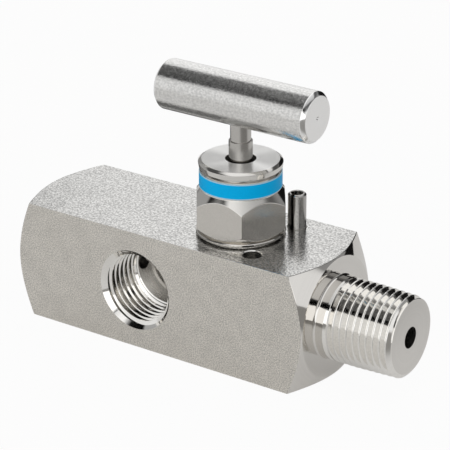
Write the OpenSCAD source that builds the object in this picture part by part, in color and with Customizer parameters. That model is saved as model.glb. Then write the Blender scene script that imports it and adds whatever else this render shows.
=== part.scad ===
// Multiport needle valve for gauges and instruments, in stainless steel.
// A square bar-stock body with turned ends carries a male pipe nipple at +X,
// two side ports, an end port at -X and a screwed-in bonnet with a T-bar.
// +X runs to the nipple, +Z up the spindle. The origin is the point where
// the spindle axis meets the underside of the body. Units are millimetres.

/* [Body] */
// Side of the square bar that the body is cut from
block_w = 32; // [30:0.5:38]
// Distance from the spindle axis to the turned end face at the nipple
nipple_end_x = 28.5; // [27:0.5:34]
// Distance from the spindle axis to the turned end face at the end port
port_end_x = 59.5; // [57:0.5:68]
// Radius of the flat part of each turned end face
end_face_r = 15.6; // [13.5:0.1:15.8]
// Angle between the turned cone at each end and the end face
end_cone_angle = 30; // [20:1:40]

/* [Ports] */
// Distance from the spindle axis to the axis of the two side ports
side_port_x = 21.8; // [21:0.1:24]
// Tap drill diameter of the three female pipe ports
port_bore_d = 18.3; // [17:0.1:19]
// Diameter of the countersink at the mouth of each port
port_mouth_d = 21.6; // [20:0.1:22.5]
// Depth of the threaded length of each port, with its countersink
port_depth = 13.2; // [11:0.1:13.5]
// Diameter of the plain bore between the two side ports
cross_bore_d = 17.6; // [16:0.1:17.8]
// Diameter of the passage from the side ports to the end port
end_passage_d = 4.6; // [4:0.1:6]
// Diameter of the passage from the seat chamber to the side ports
outlet_passage_d = 3.4; // [2.6:0.1:3.4]

/* [Nipple] */
// Outside diameter of the pipe size that the nipple has
nipple_d = 21.34; // [20.6:0.02:22]
// Length of the nipple beyond the end face
nipple_len = 21.1; // [18:0.1:24]
// Crest diameter of the tapered thread at the nipple's tip
nipple_tip_d = 20.72; // [20.2:0.02:20.9]
// Diameter gained by the tapered thread for each millimetre of length
thread_taper = 0.0625; // [0.05:0.0005:0.07]
// Chamfer at the nipple's tip
nipple_chamfer = 0.6; // [0.3:0.1:1.2]
// Radius of the fillet between the nipple and the end face
nipple_fillet = 1; // [0.5:0.1:1.5]
// Diameter of the inlet bore
inlet_d = 5.5; // [4.5:0.1:5.8]

/* [Seat] */
// Diameter of the orifice that the needle closes
seat_d = 4.4; // [3.6:0.1:4.6]
// Depth of the seat chamber's floor below the top of the body
seat_depth = 12.2; // [11:0.1:12.4]
// Diameter of the seat chamber
chamber_d = 10.4; // [10:0.1:11]
// Width of the seat chamfer at the orifice
seat_chamfer = 0.5; // [0.3:0.1:0.7]

/* [Bonnet] */
// Hexagon size across flats
hex_af = 22; // [21:0.5:24]
// Angle from +X to the hexagon's first corner
hex_turn = 5; // [0:1:10]
// Height at which the top chamfer meets the flats
hex_shoulder_z = 11.5; // [10.5:0.1:12.2]
// Angle of the top chamfer from level
hex_top_angle = 52; // [30:1:56]
// Diameter of the washer face under the hexagon
washer_face_d = 19.4; // [19:0.1:20.5]
// Height of the washer face
washer_face_h = 0.4; // [0.2:0.1:0.8]
// Diameter of the bonnet's screwed shank
shank_d = 18; // [16:0.5:19]
// Length of the bonnet's screwed shank
shank_len = 7.6; // [7:0.1:7.8]
// Width of the thread relief groove below the hexagon
relief_w = 1.2; // [0.8:0.1:1.6]
// Depth of the thread relief groove
relief_depth = 0.6; // [0.4:0.1:1]
// Diameter of the bonnet's neck
neck_d = 20.4; // [19.5:0.1:20.6]
// Height of the neck's top face above the body
neck_top_z = 16.95; // [16.9:0.05:19]
// Thickness of the bonnet gasket
gasket_h = 1; // [0.8:0.1:1.2]
// Radial width of the bonnet gasket
gasket_w = 3.2; // [2.6:0.1:3.4]

/* [Colour band] */
// Height of the coloured band
band_h = 4.1; // [3:0.1:4.3]
// Thickness of the coloured band
band_t = 0.22; // [0.1:0.02:0.3]

/* [Gland] */
// Diameter of the packing chamber
packing_d = 12; // [11:0.1:12.4]
// Height of one packing ring
packing_ring_h = 2; // [1.6:0.1:2.2]
// Thickness of each packing washer
packing_washer_h = 0.8; // [0.6:0.1:1]
// Height of the packing chamber's floor above the top of the body
packing_floor_z = 0.4; // [0.2:0.1:1]
// Thickness of the floor that the spindle backseats against
packing_floor_h = 1; // [0.8:0.1:1.4]
// Thread diameter of the packing adjuster
adjuster_d = 14; // [13.4:0.1:15]
// Length of the adjuster's plain nose
adjuster_nose = 1.2; // [0.8:0.1:1.6]
// Length of the adjuster's screwed part
adjuster_len = 5; // [4:0.1:5.2]
// Thickness of the adjuster's lock ring
lock_ring_h = 1.4; // [1:0.1:1.5]
// Width of the spanner slots in the adjuster and its lock ring
spanner_slot_w = 2; // [1.5:0.1:2.5]
// Depth of the spanner slots
spanner_slot_h = 0.8; // [0.5:0.1:0.9]

/* [Dust cap] */
// Largest diameter of the dust cap
cap_d = 21.3; // [20.6:0.1:22]
// Diameter of the cap's flat top
cap_top_d = 19.6; // [18.5:0.1:20]
// Diameter of the cap's lower rim
cap_rim_d = 20.8; // [20.2:0.1:21.2]
// Diameter of the groove under the cap's rim
cap_groove_d = 19.2; // [18:0.1:19.6]
// Height of the groove under the cap's rim
cap_groove_h = 0.9; // [0.6:0.1:1.2]
// Height of the cap's rim
cap_rim_h = 2; // [1.6:0.1:2.6]
// Height of the chamfer round the cap's top
cap_chamfer_h = 0.6; // [0.3:0.1:0.8]
// Diameter of the hole round the spindle
cap_hole_d = 7.7; // [7:0.1:8.2]
// Length of the spigot that holds the cap in the neck
cap_spigot_h = 1; // [0.6:0.1:1.1]
// Thickness of the wiper ring
wiper_h = 1.2; // [0.8:0.1:1.6]
// Outside diameter of the wiper ring
wiper_d = 10.4; // [9.6:0.1:11]

/* [Spindle] */
// Spindle diameter in the packing, which is also its thread size
stem_d = 8; // [7:0.1:8.2]
// Spindle diameter through the dust cap
stem_neck_d = 6; // [5.6:0.1:6.6]
// Spindle diameter in the T-bar
stem_tip_d = 5.2; // [4.6:0.1:5.5]
// Height of the step below the T-bar, above the body
stem_step_z = 24.5; // [23:0.1:26]
// Height of the top of the spindle's screwed length
stem_thread_z = 12; // [11:0.1:12.2]
// Diameter of the backseat collar
collar_d = 9.2; // [8.8:0.1:9.4]
// Height of the backseat collar
collar_h = 1.4; // [1:0.1:1.8]
// Chamfer at the spindle's lower end
stem_chamfer = 0.3; // [0.1:0.1:0.5]
// Lift of the needle from shut to the backseat
lift = 4.7; // [4:0.1:4.8]

/* [Needle] */
// Diameter of the needle's shank inside the spindle
shank_tip_d = 4.8; // [4.2:0.1:5]
// Diameter of the needle's head
needle_head_d = 6.6; // [6:0.1:7]
// Height of the needle's head
needle_head_h = 1; // [0.6:0.1:1.2]
// Diameter of the needle's blunt point
needle_point_d = 2; // [1:0.1:2.4]
// Angle of the needle's cone from its axis
needle_angle = 30; // [25:1:35]
// Diameter of the thrust ball
ball_d = 3; // [2.4:0.1:3.2]
// Thickness of the retaining ring
clip_h = 0.6; // [0.4:0.1:0.8]
// Radial width of the retaining ring
clip_w = 0.9; // [0.7:0.1:1]

/* [T-bar] */
// Diameter of the T-bar
tbar_d = 13; // [11:0.1:14]
// Length of the T-bar
tbar_len = 44.5; // [40:0.5:60]
// Height of the T-bar's axis above the top of the body
tbar_z = 35.1; // [34.5:0.1:38]
// Chamfer at each end of the T-bar
tbar_chamfer = 0.9; // [0.4:0.1:1.5]
// Depth of the spindle's socket past the T-bar's axis
tbar_socket = 1.5; // [0:0.1:3]
// Thread diameter of the set screw
set_screw_d = 4; // [3:0.5:5]
// Width across flats of the set screw's socket
set_screw_af = 2; // [1.5:0.5:2.5]
// Depth of the set screw's head below the T-bar's surface
set_screw_sink = 0.4; // [0.2:0.1:0.8]

/* [Lock pin] */
// Distance of both pin holes from the spindle axis, along X and along Y
pin_offset = 10.2; // [10:0.1:11]
// Diameter of the slotted spring pin
pin_d = 4.7; // [4:0.1:4.8]
// Wall thickness of the spring pin
pin_wall = 0.85; // [0.6:0.05:1]
// Length of the spring pin
pin_len = 16; // [14:0.5:18]
// Height of the spring pin above the body
pin_proud = 9.3; // [8:0.1:11]
// Width of the slot in the spring pin
pin_slot_w = 0.9; // [0.5:0.1:1.2]
// Angle from +X to the slot in the spring pin
pin_slot_angle = 208; // [0:1:360]
// Chamfer at each end of the spring pin
pin_chamfer = 0.4; // [0.2:0.05:0.6]
// Width of the chamfer at the mouth of each pin hole
pin_hole_chamfer = 0.25; // [0.1:0.05:0.4]

/* [Fits] */
// Radial clearance of a screwed or pressed-in piece
seat_gap = 0.03; // [0.01:0.01:0.05]
// Radial clearance of a sliding or turning piece
run_gap = 0.05; // [0.02:0.01:0.08]
// Gap left between the needle and its seat, and round the thrust ball
touch_gap = 0.05; // [0.02:0.01:0.1]
// Gap left between the needle's head and the spindle
head_gap = 0.3; // [0.2:0.05:0.5]
// Gap left between the spindle's collar and the backseat at full lift
backseat_gap = 0.3; // [0.1:0.05:0.4]
// Radial clearance round the bonnet gasket
gasket_gap = 0.1; // [0.05:0.05:0.3]
// Radial clearance under the coloured band
band_gap = 0.01; // [0.005:0.005:0.03]
// Distance of the coloured band below the neck's top face
band_edge = 0.05; // [0.02:0.01:0.15]

/* [Hidden] */
$fn = 96;

// Cutters run this far past the faces that they cut
over = 1;
// How far the outlet passage stays above the chamber's floor
outlet_rise = 0.1;
// How far the wiper stands above the lower side of the cap's rim
wiper_rise = 0.4;
// How far the needle's shank runs into the spindle past the collar
shank_reach = 0.4;
// Space left on both sides of the retaining ring in the needle's groove
groove_gap = 0.1;
half_w = block_w / 2;
body_axis_z = half_w;
corner_r = half_w * sqrt(2);
cone_run = (corner_r + over - end_face_r) * tan(end_cone_angle);
drill_point_angle = 31;
port_r = port_bore_d / 2;
mouth_depth = (port_mouth_d - port_bore_d) / 2;

// Levels above the top of the body, from the seat up to the T-bar
chamber_top_z = -shank_len - gasket_h;
outlet_z = -seat_depth + outlet_passage_d / 2 + outlet_rise;
inlet_end_x = -inlet_d / 2;
hex_corner_r = hex_af / 2 / cos(30);
hex_top_rise = (hex_af - neck_d) / 2 * tan(hex_top_angle);
neck_z = hex_shoulder_z + hex_top_rise;
band_z = neck_top_z - band_h - band_edge;
washer_lower_z = packing_floor_z;
ring_lower_z = washer_lower_z + packing_washer_h;
ring_middle_z = ring_lower_z + packing_ring_h;
ring_upper_z = ring_middle_z + packing_ring_h;
washer_upper_z = ring_upper_z + packing_ring_h;
adjuster_z = washer_upper_z + packing_washer_h;
packing_top_z = adjuster_z + adjuster_nose;
lock_ring_z = packing_top_z + adjuster_len;
cap_spigot_z = neck_top_z - cap_spigot_h;
cap_rim_z = neck_top_z + cap_groove_h;
cap_top_z = cap_rim_z + cap_rim_h;
wiper_z = cap_rim_z - wiper_h + wiper_rise;

// The spindle's collar stops under the bonnet when the valve is fully open
backseat_z = packing_floor_z - packing_floor_h;
backseat_rise = (collar_d - stem_d) / 2;
collar_top_z = backseat_z - lift - backseat_gap;
collar_bottom_z = collar_top_z - backseat_rise - collar_h;
stem_top_z = tbar_z + tbar_socket;

// The needle's cone is steeper than the seat chamfer, so it meets the orifice's edge
seat_contact_r = seat_d / 2;
seat_contact_z = -seat_depth - seat_chamfer;
needle_rise = (needle_head_d / 2 - seat_contact_r) / tan(needle_angle);
needle_head_z = seat_contact_z + touch_gap / sin(needle_angle) + needle_rise;
needle_point_z = needle_head_z - (needle_head_d - needle_point_d) / 2 / tan(needle_angle);
shank_z = needle_head_z + needle_head_h;
stem_bottom_z = shank_z + head_gap;
shank_top_z = collar_top_z + shank_reach;
clip_z = (stem_bottom_z + collar_top_z) / 2 - clip_h / 2;
clip_outer_r = shank_tip_d / 2 + clip_w / 2;
clip_inner_r = shank_tip_d / 2 - clip_w / 2;
ball_z = shank_top_z + touch_gap + ball_d / 2;
socket_top_z = ball_z + ball_d / 2 + touch_gap;

// Puts a piece of the head on the top face of the body
module on_body() {
    translate([0, 0, block_w]) children();
}

// Turns a profile drawn with Z up so that it runs along +X on the body axis
module along_x() {
    translate([0, 0, body_axis_z]) rotate([0, 90, 0]) children();
}

// Plain ring with its underside at z
module ring(outer_r, inner_r, z, h) {
    translate([0, 0, z]) difference() {
        cylinder(r = outer_r, h = h);
        translate([0, 0, -over]) cylinder(r = inner_r, h = h + 2 * over);
    }
}

// Cutter for one threaded port, its mouth at z = 0 and its bore along -Z
module port_cutter() {
    translate([0, 0, -port_depth]) cylinder(r = port_r, h = port_depth + over);
    translate([0, 0, -mouth_depth])
        cylinder(r1 = port_r, r2 = port_r + mouth_depth + over, h = mouth_depth + over);
}

// Bar stock with both ends turned to a shallow cone and a flat face
module turned_block() {
    intersection() {
        translate([-port_end_x, -half_w, 0])
            cube([port_end_x + nipple_end_x, block_w, block_w]);
        along_x() rotate_extrude() polygon([
            [0, -port_end_x],
            [end_face_r, -port_end_x],
            [corner_r + over, -port_end_x + cone_run],
            [corner_r + over, nipple_end_x - cone_run],
            [end_face_r, nipple_end_x],
            [0, nipple_end_x]
        ]);
    }
}

// Blank of the male pipe thread, with its neck and the fillet at the face
module nipple_blank() {
    tip_r = nipple_tip_d / 2;
    neck_r = nipple_d / 2;
    taper_len = (nipple_d - nipple_tip_d) / thread_taper;
    tip_x = nipple_end_x + nipple_len;
    along_x() rotate_extrude() polygon(concat(
        [[0, nipple_end_x - over], [neck_r + nipple_fillet, nipple_end_x - over]],
        [for (a = [0 : 15 : 90])
            [neck_r + nipple_fillet * (1 - sin(a)), nipple_end_x + nipple_fillet * (1 - cos(a))]],
        [[neck_r, tip_x - taper_len],
            [tip_r + nipple_chamfer * thread_taper / 2, tip_x - nipple_chamfer],
            [tip_r - nipple_chamfer, tip_x],
            [0, tip_x]]
    ));
}

// Hole for a spring pin, with a small chamfer at its mouth
module pin_hole() {
    hole_r = pin_d / 2 + seat_gap;
    depth = pin_len - pin_proud + over;
    translate([0, 0, -depth]) cylinder(r = hole_r, h = depth + over);
    translate([0, 0, -pin_hole_chamfer])
        cylinder(r1 = hole_r, r2 = hole_r + pin_hole_chamfer + over, h = pin_hole_chamfer + over);
}

// Seat chamber, seat and the screwed hole that the bonnet goes into
module bonnet_cutter() {
    bore_r = shank_d / 2 + seat_gap;
    translate([0, 0, chamber_top_z]) cylinder(r = bore_r, h = over - chamber_top_z);
    translate([0, 0, -seat_depth]) cylinder(r = chamber_d / 2, h = seat_depth);
    translate([0, 0, -seat_depth - seat_chamfer])
        cylinder(r1 = seat_d / 2, r2 = seat_d / 2 + seat_chamfer, h = seat_chamfer);
    translate([0, 0, -half_w]) cylinder(r = seat_d / 2, h = half_w - seat_depth);
}

module valve_body() {
    color("silver") difference() {
        union() {
            turned_block();
            nipple_blank();
        }
        on_body() {
            bonnet_cutter();
            for (side = [-1, 1])
                translate([pin_offset, side * pin_offset, 0]) pin_hole();
            translate([-side_port_x, 0, outlet_z]) rotate([0, 90, 0])
                cylinder(d = outlet_passage_d, h = side_port_x);
        }
        along_x() translate([0, 0, inlet_end_x])
            cylinder(d = inlet_d, h = nipple_end_x + nipple_len - inlet_end_x + over);
        along_x() translate([0, 0, -port_end_x + over])
            cylinder(d = end_passage_d, h = port_end_x - side_port_x - over);
        translate([-port_end_x, 0, body_axis_z]) rotate([0, -90, 0]) {
            port_cutter();
            translate([0, 0, -port_depth - port_r * tan(drill_point_angle)])
                cylinder(r1 = 0, r2 = port_r, h = port_r * tan(drill_point_angle));
        }
        translate([-side_port_x, 0, body_axis_z]) {
            rotate([90, 0, 0]) cylinder(d = cross_bore_d, h = block_w, center = true);
            for (side = [-1, 1])
                translate([0, side * half_w, 0]) rotate([-side * 90, 0, 0]) port_cutter();
        }
    }
}

module bonnet_gasket() {
    outer_r = shank_d / 2 - gasket_gap;
    color("dimgray") on_body() ring(outer_r, outer_r - gasket_w, chamber_top_z, gasket_h);
}

// Hexagon with a steep chamfer above and a washer face below, and the neck.
// The turned outline runs past the corners, so that the hexagon keeps sharp ones.
module bonnet_head() {
    under_r = washer_face_d / 2;
    neck_r = neck_d / 2;
    clear_r = hex_corner_r + over;
    intersection() {
        rotate([0, 0, hex_turn]) cylinder(r = hex_corner_r, h = neck_top_z, $fn = 6);
        rotate_extrude() polygon([
            [0, 0],
            [under_r, 0],
            [under_r, washer_face_h],
            [clear_r, washer_face_h + clear_r - under_r],
            [clear_r, neck_z - (clear_r - neck_r) * tan(hex_top_angle)],
            [neck_r, neck_z],
            [neck_r, neck_top_z],
            [0, neck_top_z]
        ]);
    }
}

module bonnet() {
    shank_r = shank_d / 2;
    color("silver") on_body() difference() {
        union() {
            bonnet_head();
            translate([0, 0, -shank_len]) cylinder(r = shank_r, h = shank_len - relief_w);
            translate([0, 0, -relief_w]) cylinder(r = shank_r - relief_depth, h = relief_w + over);
        }
        translate([0, 0, -shank_len - over])
            cylinder(d = chamber_d, h = shank_len + over + backseat_z);
        translate([0, 0, backseat_z - over])
            cylinder(r = stem_d / 2 + run_gap, h = packing_floor_h + 2 * over);
        translate([0, 0, packing_floor_z])
            cylinder(d = packing_d, h = packing_top_z - packing_floor_z + over);
        translate([0, 0, packing_top_z])
            cylinder(r = adjuster_d / 2 + seat_gap, h = neck_top_z - packing_top_z + over);
    }
}

module bonnet_lock_pin() {
    outer_r = pin_d / 2;
    bottom_z = pin_proud - pin_len;
    color("gray") on_body() translate([pin_offset, pin_offset, 0]) difference() {
        rotate_extrude() polygon([
            [outer_r - pin_wall, bottom_z],
            [outer_r - pin_chamfer, bottom_z],
            [outer_r, bottom_z + pin_chamfer],
            [outer_r, pin_proud - pin_chamfer],
            [outer_r - pin_chamfer, pin_proud],
            [outer_r - pin_wall, pin_proud]
        ]);
        rotate([0, 0, pin_slot_angle]) translate([0, -pin_slot_w / 2, bottom_z - over])
            cube([outer_r + over, pin_slot_w, pin_len + 2 * over]);
    }
}

module colour_band() {
    inner_r = neck_d / 2 + band_gap;
    color("deepskyblue") on_body() ring(inner_r + band_t, inner_r, band_z, band_h);
}

// Ring of the packing set, a running fit on the spindle
module packing_piece(z, h) {
    on_body() ring(packing_d / 2 - seat_gap, stem_d / 2 + run_gap, z, h);
}

module packing_washer_lower() {
    color("lightgray") packing_piece(washer_lower_z, packing_washer_h);
}

module packing_ring_lower() {
    color("whitesmoke") packing_piece(ring_lower_z, packing_ring_h);
}

module packing_ring_middle() {
    color("whitesmoke") packing_piece(ring_middle_z, packing_ring_h);
}

module packing_ring_upper() {
    color("whitesmoke") packing_piece(ring_upper_z, packing_ring_h);
}

module packing_washer_upper() {
    color("lightgray") packing_piece(washer_upper_z, packing_washer_h);
}

// Cross slot for a pin spanner, cut into the face at height z
module spanner_slot(z) {
    translate([-adjuster_d / 2 - over, -spanner_slot_w / 2, z - spanner_slot_h])
        cube([adjuster_d + 2 * over, spanner_slot_w, spanner_slot_h + over]);
}

module packing_adjuster() {
    bore_r = stem_d / 2 + run_gap;
    color("darkgray") on_body() difference() {
        union() {
            ring(packing_d / 2 - seat_gap, bore_r, adjuster_z, adjuster_nose);
            ring(adjuster_d / 2, bore_r, packing_top_z, adjuster_len);
        }
        spanner_slot(lock_ring_z);
    }
}

module adjuster_lock_ring() {
    color("darkgray") on_body() difference() {
        ring(adjuster_d / 2, stem_d / 2 + 4 * run_gap, lock_ring_z, lock_ring_h);
        spanner_slot(lock_ring_z + lock_ring_h);
    }
}

module dust_cap() {
    top_r = cap_top_d / 2;
    pocket_r = wiper_d / 2 + seat_gap;
    color("silver") on_body() difference() {
        rotate_extrude() polygon([
            [0, cap_spigot_z],
            [adjuster_d / 2, cap_spigot_z],
            [adjuster_d / 2, neck_top_z],
            [cap_groove_d / 2, neck_top_z],
            [cap_groove_d / 2, cap_rim_z],
            [cap_rim_d / 2, cap_rim_z],
            [cap_d / 2, cap_top_z - cap_chamfer_h],
            [top_r, cap_top_z],
            [0, cap_top_z]
        ]);
        translate([0, 0, cap_spigot_z - over])
            cylinder(r = pocket_r, h = wiper_z + wiper_h - cap_spigot_z + over);
        translate([0, 0, cap_spigot_z]) cylinder(d = cap_hole_d, h = cap_top_z);
    }
}

module spindle_wiper() {
    color("black") on_body() ring(wiper_d / 2, stem_neck_d / 2 + run_gap, wiper_z, wiper_h);
}

module spindle() {
    body_r = stem_d / 2;
    color("silver") on_body() difference() {
        rotate_extrude() polygon([
            [0, stem_bottom_z],
            [body_r - stem_chamfer, stem_bottom_z],
            [body_r, stem_bottom_z + stem_chamfer],
            [body_r, collar_bottom_z],
            [collar_d / 2, collar_bottom_z],
            [collar_d / 2, collar_top_z - backseat_rise],
            [body_r, collar_top_z],
            [body_r, stem_thread_z - (stem_d - stem_neck_d) / 2],
            [stem_neck_d / 2, stem_thread_z],
            [stem_neck_d / 2, stem_step_z],
            [stem_tip_d / 2, stem_step_z + (stem_neck_d - stem_tip_d) / 2],
            [stem_tip_d / 2, stem_top_z],
            [0, stem_top_z]
        ]);
        translate([0, 0, stem_bottom_z - over])
            cylinder(r = shank_tip_d / 2 + run_gap, h = socket_top_z - stem_bottom_z + over);
        translate([0, 0, clip_z - seat_gap])
            cylinder(r = clip_outer_r + seat_gap, h = clip_h + 2 * seat_gap);
    }
}

module needle_tip() {
    shank_r = shank_tip_d / 2;
    color("gainsboro") on_body() difference() {
        rotate_extrude() polygon([
            [0, needle_point_z],
            [needle_point_d / 2, needle_point_z],
            [needle_head_d / 2, needle_head_z],
            [needle_head_d / 2, shank_z],
            [shank_r, shank_z],
            [shank_r, shank_top_z],
            [0, shank_top_z]
        ]);
        ring(shank_r + over, clip_inner_r - run_gap, clip_z - groove_gap, clip_h + 2 * groove_gap);
    }
}

module thrust_ball() {
    color("white") on_body() translate([0, 0, ball_z]) sphere(d = ball_d);
}

module tip_retaining_ring() {
    color("gray") on_body() ring(clip_outer_r, clip_inner_r, clip_z, clip_h);
}

module tbar_handle() {
    tbar_r = tbar_d / 2;
    half_len = tbar_len / 2;
    color("lightgray") on_body() translate([0, 0, tbar_z]) difference() {
        rotate([0, 90, 0]) rotate_extrude() polygon([
            [0, -half_len],
            [tbar_r - tbar_chamfer, -half_len],
            [tbar_r, -half_len + tbar_chamfer],
            [tbar_r, half_len - tbar_chamfer],
            [tbar_r - tbar_chamfer, half_len],
            [0, half_len]
        ]);
        translate([0, 0, -tbar_d])
            cylinder(r = stem_tip_d / 2 + seat_gap, h = tbar_d + tbar_socket + seat_gap);
        rotate([-90, 0, 0]) cylinder(r = set_screw_d / 2 + seat_gap, h = tbar_d);
    }
}

module handle_set_screw() {
    screw_y = stem_tip_d / 2 + touch_gap;
    screw_len = tbar_d / 2 - set_screw_sink - screw_y;
    socket_depth = screw_len / 2;
    color("dimgray") on_body() translate([0, screw_y, tbar_z]) rotate([-90, 0, 0]) difference() {
        cylinder(d = set_screw_d, h = screw_len);
        translate([0, 0, screw_len - socket_depth])
            cylinder(d = set_screw_af / cos(30), h = socket_depth + over, $fn = 6);
    }
}

valve_body();
bonnet_gasket();
bonnet();
bonnet_lock_pin();
colour_band();
packing_washer_lower();
packing_ring_lower();
packing_ring_middle();
packing_ring_upper();
packing_washer_upper();
packing_adjuster();
adjuster_lock_ring();
dust_cap();
spindle_wiper();
spindle();
needle_tip();
thrust_ball();
tip_retaining_ring();
tbar_handle();
handle_set_screw();
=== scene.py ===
"""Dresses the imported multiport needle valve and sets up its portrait.

Every new piece is drawn on the bench in millimetres, in the valve's own frame,
with +X along the nipple and +Z up the spindle, and is brought to metres when it
is done. The pieces that show replace their CAD nodes. The inner ones keep their
CAD meshes and get finishes.
"""

import logging
import math
from dataclasses import dataclass, field
from enum import Enum
from functools import lru_cache
from typing import Callable, Iterable, Optional, Sequence, Union

import bpy
from mathutils import Matrix, Vector


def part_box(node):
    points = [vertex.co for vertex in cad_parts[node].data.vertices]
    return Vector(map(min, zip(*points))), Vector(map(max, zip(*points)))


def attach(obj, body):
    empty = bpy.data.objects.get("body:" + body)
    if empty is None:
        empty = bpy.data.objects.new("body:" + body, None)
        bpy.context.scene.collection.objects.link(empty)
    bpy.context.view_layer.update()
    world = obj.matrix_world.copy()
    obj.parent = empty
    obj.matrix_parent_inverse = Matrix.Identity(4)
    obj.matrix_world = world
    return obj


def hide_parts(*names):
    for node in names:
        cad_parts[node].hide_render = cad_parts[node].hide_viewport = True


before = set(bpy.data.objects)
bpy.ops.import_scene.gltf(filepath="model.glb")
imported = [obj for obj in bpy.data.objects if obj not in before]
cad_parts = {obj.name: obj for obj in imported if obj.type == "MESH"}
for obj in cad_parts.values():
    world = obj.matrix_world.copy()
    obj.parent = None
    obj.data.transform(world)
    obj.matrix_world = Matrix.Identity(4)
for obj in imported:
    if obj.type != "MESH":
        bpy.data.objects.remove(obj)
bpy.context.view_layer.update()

logging.basicConfig(level=logging.INFO, format="%(message)s")
LOG = logging.getLogger("needle_valve")

MM = 0.001
FULL_TURN = 2 * math.pi
ROUND_STEPS = 128
SMALL_STEPS = 64
SMOOTH_ANGLE = math.radians(24)
BEVEL_STRIPS = 2

# Lengths in millimetres. A cutter reaches past what it cuts by OVER, and points of
# one shell that are closer than DOUBLED are merged.
OVER = 1.0
DOUBLED = 0.0005
BODY_WIDTH = 32.0
BODY_AXIS_Z = BODY_WIDTH / 2
BAR_AXIS_Z = 67.1
PIN_OFFSET = 10.2

# Parts of a unit normal, for picking faces.
FLAT = 0.95
TILTED = 0.3

Triple = tuple[float, float, float]
Outline = Sequence[tuple[float, float]]
Fade = tuple[float, float]
Piece = bpy.types.Object
Node = bpy.types.Node
Socket = bpy.types.NodeSocket
Feed = Union[float, Triple, Socket]
FaceTest = Callable[[bpy.types.MeshPolygon], bool]

BODY_CENTRE: Triple = (0.0, 0.0, BODY_AXIS_Z)
TOP_CENTRE: Triple = (0.0, 0.0, BODY_WIDTH)


class Axis(Enum):
    """Direction that a turned piece runs along, as seen from the body's centre."""

    UP = (0.0, 0.0, 1.0)
    NIPPLE = (1.0, 0.0, 0.0)
    FRONT = (0.0, -1.0, 0.0)
    REAR = (0.0, 1.0, 0.0)

    def direction(self) -> Vector:
        """Returns the axis as a unit vector."""
        return Vector(self.value)

    def side(self) -> Vector:
        """Returns the direction in which a profile on this axis is drawn."""
        return Vector((1, 0, 0)) if self is Axis.UP else Vector((0, 0, 1))

    def letter(self) -> str:
        """Returns the name of the coordinate that changes along the axis."""
        return "XYZ"[[abs(part) for part in self.value].index(1.0)]

    def placing(self, centre: Triple) -> Matrix:
        """Returns the matrix that puts a piece drawn up the Z axis onto this axis.

        Args:
            centre: Where the piece's own origin goes.

        Returns:
            The rotation and the move as one matrix.
        """
        turn = Vector((0, 0, 1)).rotation_difference(self.direction())
        return Matrix.Translation(Vector(centre)) @ turn.to_matrix().to_4x4()


class Cut(Enum):
    """What a boolean does with the tool's solid."""

    AWAY = "DIFFERENCE"
    JOINED = "UNION"
    COMMON = "INTERSECT"


class Marks(Enum):
    """Kind of mark on a surface."""

    BLASTED = "blasted_grain"
    TURNED = "turning_marks"
    DRAWN = "drawn_streaks"


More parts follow.
